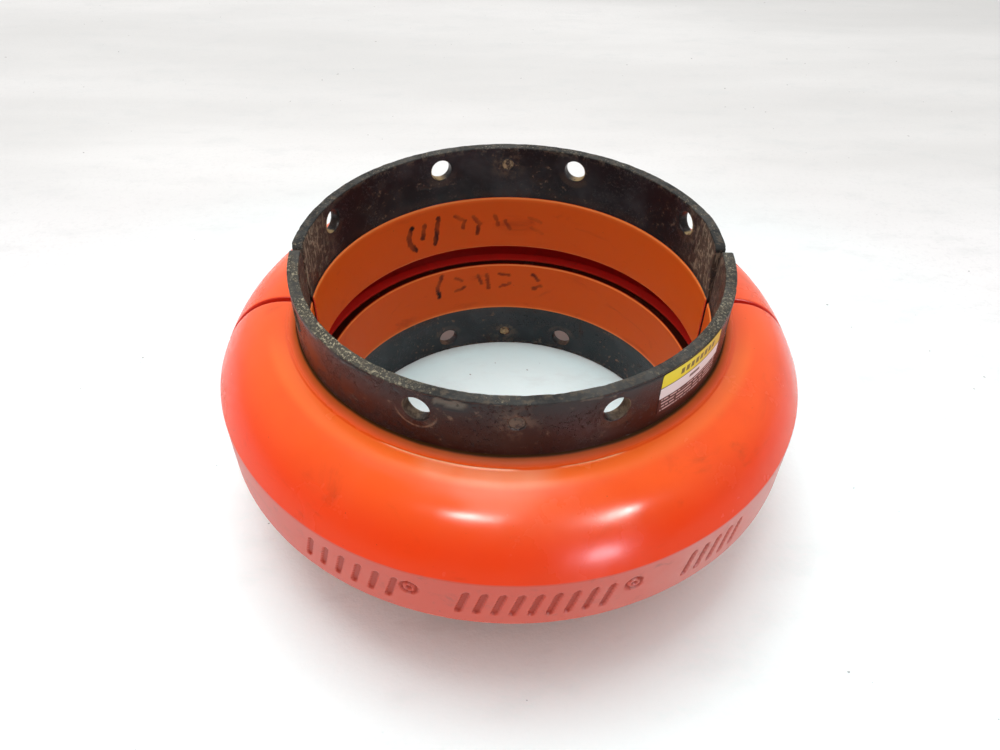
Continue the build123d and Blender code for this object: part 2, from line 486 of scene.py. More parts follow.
def tyre_attributes(piece, outline, columns, flat, half_turn):
    """Masks for the elastomer's material, from each point's place on the outline."""
    radius, turn, height = flat.T
    level = np.abs(height)
    zones = np.tile(outline, (len(columns), 1))
    outside = (radius > SHOE_R - TOUCHING) & (level > BAND) & (zones[:, HOLLOW] < 0.5)
    from_steel = np.hypot(radius - SHOE_R, np.minimum(level - SHOULDER_Z, 0)) / MM
    split_gap = np.repeat(1 - np.abs(columns), len(outline)) * LIMIT * radius
    band = smoothstep(BAND + 0.4 * MM, BAND - 0.1 * MM, level) * (radius > TYRE_R - 2 * MM)
    ink = np.zeros_like(radius)
    if half_turn:
        lined = zones[:, LINED] > 0.5
        strokes = PEN_STROKES if height[lined].max() > 0 else LOW_PEN_STROKES
        ink[lined] = ink_mask(-turn[lined], height[lined], strokes)
    put_attributes(
        piece,
        steel_gap=np.where(outside, np.minimum(from_steel, 60), 60),
        lining=zones[:, LINED],
        lip=zones[:, LIP],
        groove=zones[:, GROOVE],
        hollow=zones[:, HOLLOW],
        split=smoothstep(1.2 * MM, 0.1 * MM, split_gap),
        band=band,
        sunk=band * smoothstep(0.5, 0.9, (TYRE_R - radius) / MARK_DEPTH),
        ink=ink,
    )


def bend(piece, follow, level):
    """Bakes the wall's transform into its mesh."""
    if level < 0:
        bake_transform(piece)
        follow = 1 - follow
    else:
        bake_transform(piece)


def make_tyres(material):
    outlines = dict(zip(("upper", "lower"), tyre_outlines()))
    for side, half_turn, end, level in CORNERS:
        outline, columns = outlines[end], tyre_turns(end == "upper")
        piece, flat = tyre_mesh(f"tyre_{side}_{end}_wall", outline, columns, half_turn)
        tyre_attributes(piece, outline, columns, flat, half_turn)
        bend(piece, np.tile(outline[:, FOLLOW], len(columns)), level)
        dress(piece, material, f"tyre_half_{side}")


# ---- Steel shoes ----
MIDDLE_R = (SHOE_R + BORE_R) / 2
PATCH = 11.0 * MM  # half side of the square of mesh round each hole
PATCH_CELLS = 16
HOLE_EDGE = 0.45 * MM
RIM_EDGE = 0.8 * MM
END_CORNER = 3.2 * MM  # rounding of the rim down to the ends
END_EDGE = 0.6 * MM
SPRUNG = 2.6 * MM  # how far the right end of the back upper shoe has sprung inwards
SPRUNG_REACH = 0.3  # turn over which it bends
DENT, NICK, WORN = 0.14 * MM, 0.25 * MM, 0.03 * MM  # depths of the rim's dents and nicks, and of wear
CHIP, LAP = 0.7 * MM, 0.4 * MM  # depths of the chipped patch and of the fold in the rim
CHIP_TURN, CHIP_DROP = math.radians(-14.5), 4.0 * MM
CHIP_SIZE = (8.5 * MM, 2.0 * MM)  # halves of its width and height
WELD = 0.002 * MM  # points of a mesh that are closer than this become one


def cells(index):
    """Quads of a grid of points, from the numbers of its points."""
    return np.stack([index[:-1, :-1], index[:-1, 1:], index[1:, 1:], index[1:, :-1]], -1)


class Soup:
    """Quads gathered piece by piece and welded at the end."""

    def __init__(self):
        self.points = []
        self.faces = []

    def grid(self, rows, closed=False, keep=None):
        """rows is an array of points, shape (n, m, 3). keep says which of its cells are wanted."""
        rows = np.asarray(rows, float)
        n, m = rows.shape[:2]
        index = len(self.points) + np.arange(n * m).reshape(n, m)
        self.points.extend(rows.reshape(-1, 3).tolist())
        if closed:
            index = np.hstack([index, index[:, :1]])
        quads = cells(index)
        if keep is not None:
            quads = quads[keep]
        self.faces.extend(tuple(quad) for quad in quads.reshape(-1, 4).tolist())

    def finish(self, name, sharp_degrees=38):
        mesh = new_mesh(name, self.points, self.faces)
        bm = bmesh.new()
        bm.from_mesh(mesh)
        bmesh.ops.delete(bm, geom=[v for v in bm.verts if not v.link_faces], context="VERTS")
        bmesh.ops.remove_doubles(bm, verts=bm.verts, dist=WELD)
        bmesh.ops.recalc_face_normals(bm, faces=bm.faces)
        bm.to_mesh(mesh)
        bm.free()
        return new_piece(mesh, sharp_degrees)


def hole_places():
    """Turn and radius of each hole of a shoe, plug hole included, in order round it."""
    return sorted([(turn, HOLE_R) for turn in HOLE_TURNS] + [(0.0, PLUG_R)])


def shoe_columns():
    """Turns of the grid lines of a shoe, and the cells that a hole's patch takes."""
    half = PATCH / MIDDLE_R
    step = 2 * half / PATCH_CELLS
    turns, patches = [], []
    position = -LIMIT
    for centre, radius in hole_places():
        gap = centre - half - position
        turns.append(np.linspace(position, centre - half, max(2, round(gap / step)), endpoint=False))
        patches.append((sum(len(t) for t in turns), centre, radius))
        turns.append(np.linspace(centre - half, centre + half, PATCH_CELLS + 1)[:-1])
        position = centre + half
    turns.append(np.linspace(position, LIMIT, round((LIMIT - position) / step) + 1))
    turns = np.concatenate(turns)
    close = np.array([0, 0.08, 0.2, 0.36, 0.6, 1.0, 1.6, 2.4, 3.4, 4.6]) * MM / SHOE_R
    inner = turns[np.abs(turns) < LIMIT - close[-1] - step / 2]
    added = len(close) - np.argmax(turns == inner[0])
    patches = [(first + added, centre, radius) for first, centre, radius in patches]
    return np.concatenate([-LIMIT + close, inner, LIMIT - close[::-1]]), patches


def shoe_rows(low):
    """Heights of the grid lines on a shoe's face, from low up, and the row where the patches start."""
    patch_low, patch_high = HOLE_Z - PATCH, HOLE_Z + PATCH
    count = max(2, round((patch_low - low) / (2.4 * MM)))
    runs = [
        np.linspace(low, patch_low, count, endpoint=False),
        np.linspace(patch_low, patch_high, PATCH_CELLS + 1),
        np.linspace(patch_high, SHOE_TOP - RIM_EDGE, 5)[1:],
    ]
    return np.concatenate(runs), len(runs[0])


def shoe_turn(turn, radius):
    """Turns scaled so that the ends lie in planes parallel to the split."""
    return turn / LIMIT * (LIMIT - math.asin(HALF_GAP / radius))


def hole_patch(soup, radius, centre, hole):
    """The square of mesh round a hole, on the face at this radius. Returns the directions of its spokes."""
    side = np.linspace(-1, 1, PATCH_CELLS + 1)
    x = np.concatenate([side, np.ones(PATCH_CELLS - 1), side[::-1], -np.ones(PATCH_CELLS - 1)])
    z = np.concatenate([-np.ones(len(side)), side[1:-1], np.ones(len(side)), side[::-1][1:-1]])
    outer_turn = shoe_turn(centre + x * PATCH / MIDDLE_R, radius)
    outer_z = HOLE_Z + z * PATCH
    angle = np.arctan2(z, x)
    inner_x = (hole + HOLE_EDGE) * np.cos(angle)
    inner_turn = shoe_turn(centre, radius) + np.arcsin(inner_x / radius)
    inner_z = HOLE_Z + (hole + HOLE_EDGE) * np.sin(angle)
    rows = []
    for share in np.linspace(0, 1, 9) ** 1.2:
        turn = inner_turn * (1 - share) + outer_turn * share
        height = inner_z * (1 - share) + outer_z * share
        rows.append(around(radius, turn, height))
    soup.grid(rows, closed=True)
    return angle


def hole_wall(soup, centre, hole, angle):
    """The wall of a hole, with its two edges rounded."""
    rows = []
    rounding = [(0, 1), (0.3, 0.45), (1, 0)]
    for fraction, extra in rounding:
        rows.append((SHOE_R - fraction * HOLE_EDGE, hole + extra * HOLE_EDGE))
    for fraction in (0.3, 0.6):
        rows.append((SHOE_R - HOLE_EDGE - fraction * (SHOE_R - BORE_R - 2 * HOLE_EDGE), hole))
    for fraction, extra in reversed(rounding):
        rows.append((BORE_R + fraction * HOLE_EDGE, hole + extra * HOLE_EDGE))
    points = []
    for radius, size in rows:
        turn = shoe_turn(centre, radius) + np.arcsin(size * np.cos(angle) / radius)
        points.append(around(radius, turn, HOLE_Z + size * np.sin(angle)))
    soup.grid(points, closed=True)


def shoe_mesh(name):
    """An upper shoe of the front half, with the hub's seat turned in the bare end of its bore."""
    turns, patches = shoe_columns()
    soup = Soup()
    for radius, low in ((SHOE_R, SHOE_ROOT), (BORE_R, LINING_TOP)):
        rows, patch_row = shoe_rows(low)
        keep = np.ones((len(rows) - 1, len(turns) - 1), bool)
        for first, _, _ in patches:
            keep[patch_row : patch_row + PATCH_CELLS, first : first + PATCH_CELLS] = False
        face_turns = shoe_turn(turns, radius)
        soup.grid([around(radius, face_turns, z) for z in rows], keep=keep)
        for _, centre, hole in patches:
            angle = hole_patch(soup, radius, centre, hole)
    for _, centre, hole in patches:
        hole_wall(soup, centre, hole, angle)
    lip = [(0, 0), (0.1, 0.45), (0.4, 0.85), (1, 1)]
    rim = [(SHOE_R - a * RIM_EDGE, SHOE_TOP - RIM_EDGE + b * RIM_EDGE) for a, b in lip]
    flat = SHOE_R - BORE_R - 2 * RIM_EDGE
    rim += [(SHOE_R - RIM_EDGE - share * flat, SHOE_TOP) for share in np.linspace(0, 1, 6)[1:-1]]
    rim += [(BORE_R + a * RIM_EDGE, SHOE_TOP - RIM_EDGE + b * RIM_EDGE) for a, b in reversed(lip)]
    step = [(BORE_R, LINING_TOP), (BURIED_R, LINING_TOP)]
    buried = [(BURIED_R, z) for z in np.linspace(LINING_TOP, SHOE_ROOT, 9)]
    root = [(r, SHOE_ROOT) for r in np.linspace(BURIED_R, SHOE_R, 4)]
    for run in (rim, step, buried, root):
        soup.grid([around(r, shoe_turn(turns, r), z) for r, z in run])
    outer_rows, inner_rows = shoe_rows(SHOE_ROOT)[0], shoe_rows(LINING_TOP)[0]
    loop = [(SHOE_R, z) for z in outer_rows] + rim[1:-1] + [(BORE_R, z) for z in inner_rows[::-1]]
    loop += buried + root[1:-1]
    for end in (-LIMIT, LIMIT):
        base = len(soup.points)
        for r, z in loop:
            soup.points.append(around(r, shoe_turn(end, r), z).tolist())
        soup.faces.append(tuple(range(base, base + len(loop))))
    return soup.finish(name)


def round_ends(turn, radius, height):
    """Rounds the shoe's ends: the corners of the rim, and the long edges of the end faces."""
    end_gap = (LIMIT - np.abs(turn)) * SHOE_R - HALF_GAP
    corner = np.clip(1 - end_gap / END_CORNER, 0, 1)
    drop = END_CORNER * (1 - np.sqrt(1 - corner**2))
    height = height - drop * np.clip((height - HOLE_Z) / (SHOE_TOP - HOLE_Z), 0, 1)
    edge = np.clip(1 - end_gap / END_EDGE, 0, 1)
    inset = END_EDGE * (1 - np.sqrt(1 - edge**2))
    bare = (np.abs(radius - MIDDLE_R) > 2.2 * MM) & (height > COLLAR_TOP - 4 * MM)
    return radius - np.where(bare, np.sign(radius - MIDDLE_R) * inset, 0), height, end_gap


def shoe_detail(piece, level, half_turn):
    """Nicks, wear and unevenness of a shoe, and the masks that its material reads."""
    points = coordinates(piece)
    radius = np.hypot(points[:, 0], points[:, 1])
    turn = np.arctan2(points[:, 0], -points[:, 1])
    height = points[:, 2]
    seed = 40 + 7 * (level < 0) + 3 * (half_turn > 0)
    keyed = np.stack([turn * SHOE_R, radius, height], -1)
    rim = smoothstep(SHOE_TOP - 1.0 * MM, SHOE_TOP - 0.2 * MM, height)
    under_rim = smoothstep(SHOE_TOP - 5 * MM, SHOE_TOP - 1 * MM, height)
    outer = smoothstep(BORE_R + 1 * MM, SHOE_R - 1 * MM, radius)
    inward = np.sign(MIDDLE_R - radius)
    rough = waves(keyed, 2.4 * MM, seed) * 0.5 + waves(keyed, 7 * MM, seed + 1) * 0.5
    dented = rim * (np.clip(rough, -2, 0.2) - 0.2) * DENT
    nick = smoothstep(1.0, 2.0, waves(keyed, 5 * MM, seed + 2)) * under_rim * NICK
    chip = chip_mask(turn, height, keyed, seed) * outer * (level > 0) * (half_turn == 0)
    hole_gap = np.full_like(turn, 1.0)
    for centre, hole in hole_places():
        hole_gap = np.minimum(hole_gap, np.hypot((turn - centre) * radius, height - HOLE_Z) - hole)
    bare = smoothstep(COLLAR_TOP, COLLAR_TOP + 3 * MM, height) * (1 - rim)
    worn = smoothstep(0.6 * MM, 3 * MM, hole_gap) * bare * (1 + waves(keyed, 14 * MM, seed + 3))
    screw_gap, screw_low = np.full_like(turn, 1.0), np.zeros_like(turn)
    for centre in HOLE_TURNS:
        reach = np.hypot((turn - centre) * radius, height - HOLE_Z)
        nearer = reach - HOLE_R < screw_gap
        screw_gap = np.where(nearer, reach - HOLE_R, screw_gap)
        screw_low = np.where(nearer, (HOLE_Z - height) / np.maximum(reach, HOLE_R / 2), screw_low)
    plug_gap = np.hypot(turn * radius, height - HOLE_Z) - PLUG_R
    collar_gap = height - COLLAR_TOP
    radius, height, end_gap = round_ends(turn, radius, height + dented)
    broken = smoothstep(-0.4, 0.5, waves(keyed, 22 * MM, seed + 4))
    lap = np.exp(-(((height - (SHOE_TOP - 1.45 * MM)) / (0.32 * MM)) ** 2)) * broken * outer
    masks = dict(chip=chip, rim=rim, under_rim=under_rim, outer=outer, lap=lap, screw_low=screw_low)
    gaps = dict(screw_gap=screw_gap, plug_gap=plug_gap, collar_gap=collar_gap, end_gap=end_gap)
    put_attributes(piece, **masks, **{name: gap / MM for name, gap in gaps.items()})
    radius = radius + inward * nick - WORN * worn - CHIP * chip - LAP * lap
    if level > 0 and half_turn:
        radius = radius - sprung_end(turn, height)
    place(piece, around(radius, turn, height), half_turn, level)


def chip_mask(turn, height, keyed, seed):
    """A patch of the front upper shoe where the paint has chipped off in a shallow ledge under the rim."""
    x = (turn - CHIP_TURN) * SHOE_R
    ragged = waves(keyed, 3 * MM, seed + 5) * 0.5 * MM
    edge = block_distance(x, height - (SHOE_TOP - CHIP_DROP), *CHIP_SIZE, 1.5 * MM) + ragged
    return smoothstep(0.35 * MM, -0.35 * MM, edge)


def sprung_end(turn, height):
    """How far the bare end of the back upper shoe has sprung inwards, towards its right end."""
    along = smoothstep(LIMIT - SPRUNG_REACH, LIMIT, -turn)
    return SPRUNG * along * smoothstep(LINING_TOP - 5 * MM, SHOE_TOP - 12 * MM, height)


def make_shoes(material):
    for side, half_turn, end, level in CORNERS:
        piece = shoe_mesh(f"{end}_steel_{side}")
        shoe_detail(piece, level, half_turn)
        dress(piece, material, f"{end}_shoe_{side}", f"{end}_{side}")


# ---- Plugs and label ----
PLUG_SINK = 0.15 * MM
PLUG_ROUND = 0.25 * MM
PLUG_FIT = 0.05 * MM
LABEL_CORNER = 1.6 * MM
LABEL_LIFT, LABEL_THICKNESS = 0.06 * MM, 0.14 * MM


def plug_mesh(name):
    """A moulded plug of the front upper shoe: a short rod with slightly sunk, uneven faces."""
    angle = np.linspace(0, 2 * math.pi, 40, endpoint=False)
    shares = np.array([0.02, 0.2, 0.4, 0.6, 0.78, 0.92, 1.0])
    deep, sizes = PLUG_SINK + PLUG_ROUND * shares**6, shares * (PLUG_R - PLUG_FIT)
    rows = [*zip(SHOE_R - deep, sizes), *zip((BORE_R + deep)[::-1], sizes[::-1])]
    points = []
    for radius, size in rows:
        turn = np.arcsin(size * np.cos(angle) / radius)
        z = HOLE_Z + size * np.sin(angle)
        keyed = np.stack([turn * radius, z, np.full_like(z, radius)], -1)
        bumps = waves(keyed, 1.6 * MM, 77) * 0.07 * MM
        points.append(around(radius + bumps, turn, z))
    soup = Soup()
    soup.grid(points, closed=True)
    base = len(soup.points)
    soup.faces.append(tuple(range(len(angle))))
    soup.faces.append(tuple(range(base - len(angle), base)))
    return soup.finish(name, sharp_degrees=50)


def make_plugs(material):
    for side, half_turn, end, level in CORNERS:
        piece = plug_mesh(f"{end}_plug_{side}_moulded")
        place(piece, coordinates(piece), half_turn, level)
        dress(piece, material, f"{end}_plug_{side}", f"{end}_{side}")


def label_mesh():
    """The blank label: a thin sheet on the shoe with round corners and a slightly lifted edge."""
    corners = [math.atan2(LABEL_LOW.x, -LABEL_LOW.y), math.atan2(LABEL_HIGH.x, -LABEL_HIGH.y)]
    low_turn, high_turn = min(corners), max(corners)
    corner = LABEL_CORNER
    width, height = (high_turn - low_turn) * SHOE_R, LABEL_HIGH.z - LABEL_LOW.z
    u, v = np.meshgrid(np.linspace(0, 1, 90), np.linspace(0, 1, 60))
    x, z = (u - 0.5) * width, (v - 0.5) * height
    past_x, past_z = np.abs(x) - width / 2 + corner, np.abs(z) - height / 2 + corner
    reach = np.hypot(np.maximum(past_x, 0), np.maximum(past_z, 0))
    pull = np.where(reach > corner, corner / np.maximum(reach, 1e-9), 1)
    x = np.sign(x) * np.where(pull < 1, width / 2 - corner + past_x * pull, np.abs(x))
    z = np.sign(z) * np.where(pull < 1, height / 2 - corner + past_z * pull, np.abs(z))
    turn = (low_turn + high_turn) / 2 + x / SHOE_R
    z = z + (LABEL_LOW.z + LABEL_HIGH.z) / 2
    keyed = np.stack([x.ravel(), z.ravel(), 0 * z.ravel()], -1)
    ripple = (waves(keyed, 7 * MM, 91) * 0.012 * MM).reshape(x.shape)
    under = SHOE_R + LABEL_LIFT + 0 * ripple
    top = SHOE_R + LABEL_LIFT + LABEL_THICKNESS + ripple
    soup = Soup()
    soup.grid(around(top, turn, z))
    soup.grid(around(under, turn, z))
    for pick in ((slice(None), 0), (slice(None), -1), (0, slice(None)), (-1, slice(None))):
        soup.grid([around(r[pick], turn[pick], z[pick]) for r in (top, under)])
    piece = soup.finish("label_sheet")
    points = coordinates(piece)
    turn = np.arctan2(points[:, 0], -points[:, 1])
    across = (turn - low_turn) / (high_turn - low_turn)
    up = (points[:, 2] - LABEL_LOW.z) / height
    put_attributes(piece, share=np.stack([across, up, 0 * turn], -1), rest=points)
    return piece


def make_label(material):
    dress(label_mesh(), material, "blank_label", "upper_front")


# ---- Materials ----
class Nodes:
    """A node tree, built by small calls that return sockets."""

    def __init__(self, tree):
        self.tree = tree

    def put(self, socket, value):
        """Gives an input a value, or links a socket to it."""
        if isinstance(value, bpy.types.NodeSocket):
            self.tree.links.new(value, socket)
        elif isinstance(value, tuple) and len(value) == 3 and socket.type == "RGBA":
            socket.default_value = (*value, 1.0)
        else:
            socket.default_value = value

    def add(self, kind, output, inputs, **settings):
        """Adds a node with these settings and inputs, and returns one of its outputs."""
        node = self.tree.nodes.new("ShaderNode" + kind)
        for name, value in settings.items():
            setattr(node, name, value)
        for name, value in inputs.items():
            self.put(node.inputs[name], value)
        return node.outputs[output]

    def part(self, vector, axis):
        return self.add("SeparateXYZ", axis, {0: vector})

    def math(self, operation, a, b=0.0):
        return self.add("Math", 0, {0: a, 1: b}, operation=operation)

    def times(self, *values):
        total = values[0]
        for value in values[1:]:
            total = self.math("MULTIPLY", total, value)
        return total

    def most(self, *values):
        """The greatest of these numbers."""
        total = values[0]
        for value in values[1:]:
            total = self.math("MAXIMUM", total, value)
        return total

    def blend(self, share, a, b):
        """A number between a and b."""
        return self.add("Mix", "Result", {"Factor": share, "A": a, "B": b}, data_type="FLOAT")


class Shader(Nodes):
    """A node material. Its base colour is laid down first, and then coated with others."""

    def __init__(self, name):
        self.material = bpy.data.materials.new(name)
        self.material.use_nodes = True
        super().__init__(self.material.node_tree)
        self.tree.nodes.clear()
        output = self.tree.nodes.new("ShaderNodeOutputMaterial")
        self.surface = self.tree.nodes.new("ShaderNodeBsdfPrincipled")
        self.tree.links.new(self.surface.outputs[0], output.inputs["Surface"])

    def number(self, name):
        """The number that put_attributes left on the mesh."""
        return self.add("Attribute", "Fac", {}, attribute_name=name)

    def vector(self, name):
        return self.add("Attribute", "Vector", {}, attribute_name=name)

    def noise(self, vector, size, detail=4.0, roughness=0.55, distortion=0.0):
        """Noise from 0 to 1 whose bumps are about size metres across."""
        inputs = {"Vector": vector, "Scale": 0.5 / size, "Detail": detail}
        inputs.update(Roughness=roughness, Distortion=distortion)
        return self.add("TexNoise", "Fac", inputs)

    def stretch(self, vector, scale):
        return self.add("VectorMath", 0, {0: vector, 1: scale}, operation="MULTIPLY")

    def step(self, value, low, high):
        """Smooth ramp of value from 0 at low to 1 at high. It falls where high is below low."""
        bottom, top = (0.0, 1.0) if high > low else (1.0, 0.0)
        inputs = {"Value": value, "From Min": min(low, high), "From Max": max(low, high)}
        inputs.update({"To Min": bottom, "To Max": top})
        return self.add("MapRange", "Result", inputs, interpolation_type="SMOOTHSTEP")

    def span(self, value, start, full, fading, end):
        """1 where value lies from full to fading, and down to 0 at start and at end."""
        return self.times(self.step(value, start, full), self.step(value, end, fading))

    def mix(self, share, a, b):
        """A colour between a and b."""
        return self.add("Mix", "Result", {"Factor": share, "A": a, "B": b}, data_type="RGBA")

    def coat(self, colour, *shares):
        """Lays a colour over the base, as thickly as the shares multiplied together."""
        self.base = self.mix(self.times(*shares), self.base, colour)

    def bump(self, height, distance, strength=1.0, under=None):
        """A normal for a surface with this relief, over another normal if one is given."""
        inputs = {"Strength": strength, "Distance": distance, "Height": height}
        if under:
            inputs["Normal"] = under
        return self.add("Bump", "Normal", inputs)

    def finish(self, **values):
        """Sets the surface's inputs, the base colour with them, and returns the material."""
        for name, value in values.items():
            self.put(self.surface.inputs[name.replace("_", " ")], value)
        self.put(self.surface.inputs["Base Color"], self.base)
        return self.material


def elastomer():
    """Glossy cast polyurethane: orange, painted lighter at the top of the shoulder and redder low on it,
    darker beside the steel, with painted sheen, highlights and shade.
    """
    s = Shader("cast_elastomer")
    rest = s.vector("rest")
    height = s.math("ABSOLUTE", s.part(rest, "Z"))
    band, lining, hollow = s.number("band"), s.number("lining"), s.number("hollow")
    cloud = s.noise(rest, 40 * MM, 4)
    # Painted light: the shoulder is lighter and yellower at the top and redder low down, standing in for
    # the light from above.
    s.base = s.mix(s.step(height, 50 * MM, 28 * MM), (0.95, 0.108, 0.013), (0.93, 0.058, 0.007))
    s.coat((0.78, 0.055, 0.008), s.step(cloud, 0.48, 0.72), 0.4)
    s.coat((0.6, 0.05, 0.014), band, 0.8)
    place = s.part(rest, "X")
    # Painted sheen: the band is paler and pinker towards its right, a painted reflection of the bright
    # floor.
    painted_band_sheen = s.times(band, s.step(place, 10 * MM, 110 * MM), s.step(cloud, 0.25, 0.65))
    s.coat((0.66, 0.235, 0.2), painted_band_sheen, 0.75)
    s.coat((0.76, 0.11, 0.01), lining)
    # Painted highlight: the lining is painted lighter near its top edge.
    s.coat((0.98, 0.2, 0.035), lining, s.step(height, 46 * MM, 49.4 * MM), 0.7)
    # Painted shade: the hollow is painted a deeper red than the rest, the shaded look of the same
    # elastomer.
    s.coat((0.95, 0.04, 0.03), hollow)
    smear = s.noise(s.stretch(rest, (1, 1, 2.2)), 20 * MM, 6, 0.6, 0.7)
    s.coat((0.34, 0.036, 0.008), s.step(smear, 0.56, 0.78), s.blend(lining, 0.38, 0.55))
    scuff = s.noise(rest, 6 * MM, 8, 0.72, 0.4)
    s.coat((0.2, 0.035, 0.015), s.step(scuff, 0.54, 0.78), band, 0.5)
    speck = s.step(s.noise(rest, 1.3 * MM, 2), 0.75, 0.81)
    s.coat((0.1, 0.02, 0.008), speck, 0.6)
    # Darker and browner in a ragged band beside the steel.
    ragged = s.math("SUBTRACT", s.noise(rest, 26 * MM, 5, 0.55), 0.5)
    steel_gap = s.number("steel_gap")
    amber = s.step(s.math("ADD", steel_gap, s.times(ragged, 2.0)), 6.6, 1.0)
    dark_by_steel = s.step(s.math("ADD", steel_gap, s.times(ragged, 1.4)), 1.9, 0.7)
    s.coat((0.31, 0.06, 0.002), amber, 0.82)
    s.coat((0.036, 0.016, 0.002), dark_by_steel, 0.97)
    # Painted sheen: a lighter orange strip below the ridge at the front, where the steel wall blocks the
    # reflected light.
    painted_sheen_strip = s.span(steel_gap, 6.8, 7.8, 14.0, 20.0)
    painted_sheen_strip = s.times(painted_sheen_strip, s.step(s.part(rest, "Y"), -20 * MM, -60 * MM))
    s.coat((1.0, 0.165, 0.024), painted_sheen_strip, 0.75)
    # Painted sheen: a pale pink patch below the ridge at the front left, a painted reflection of the
    # overhead light.
    painted_sheen_patch = s.times(painted_sheen_strip, s.step(place, -54 * MM, -36 * MM), s.step(place, 26 * MM, 4 * MM))
    s.coat((1.0, 0.36, 0.2), painted_sheen_patch, s.step(cloud, 0.2, 0.5), 0.62)
    # Painted highlight: the ridge's crest is painted pale.
    crest = s.step(s.number("crest"), 0.3, 0.85)
    s.coat((1.0, 0.5, 0.26), crest, 0.65)
    # Painted highlight: the rounded edges of the lining are painted lighter orange.
    s.coat((0.95, 0.3, 0.08), s.number("lip"), 0.6)
    s.coat((0.008, 0.005, 0.003), s.number("groove"), 0.97)
    s.coat((0.7, 0.026, 0.016), s.number("split"), 0.85)
    # Painted shade: the sunk bars and dots are painted darker.
    sunk = s.number("sunk")
    s.coat((0.33, 0.026, 0.014), sunk, 0.62)
    s.coat((0.012, 0.006, 0.005), s.number("ink"))
    gloss = s.noise(rest, 22 * MM, 5, 0.6)
    shine = s.blend(s.step(gloss, 0.3, 0.7), 0.17, 0.3)
    roughness = s.blend(s.most(band, lining), shine, 0.4)
    dull = s.most(dark_by_steel, s.times(amber, 0.85), hollow)
    roughness = s.blend(crest, s.blend(dull, roughness, 0.62), 0.12)
    fine = s.bump(s.noise(rest, 0.55 * MM, 4), 0.02 * MM, 0.5)
    normal = s.bump(s.noise(rest, 8 * MM, 3), 0.1 * MM, 0.5, fine)
    shoulder = s.blend(s.step(height, 42 * MM, 28 * MM), 0.46, 0.24)
    inside = s.blend(dull, s.blend(lining, shoulder, 0.1), 0.04)
    band_shine = s.blend(sunk, 0.75, 0.3)
    specular = s.blend(crest, s.blend(band, inside, band_shine), 0.6)
    glow = dict(Subsurface_Weight=0.1, Subsurface_Radius=(0.006, 0.0014, 0.0004), Subsurface_Scale=1.0)
    return s.finish(Roughness=roughness, Normal=normal, IOR=1.45, Specular_IOR_Level=specular, **glow)


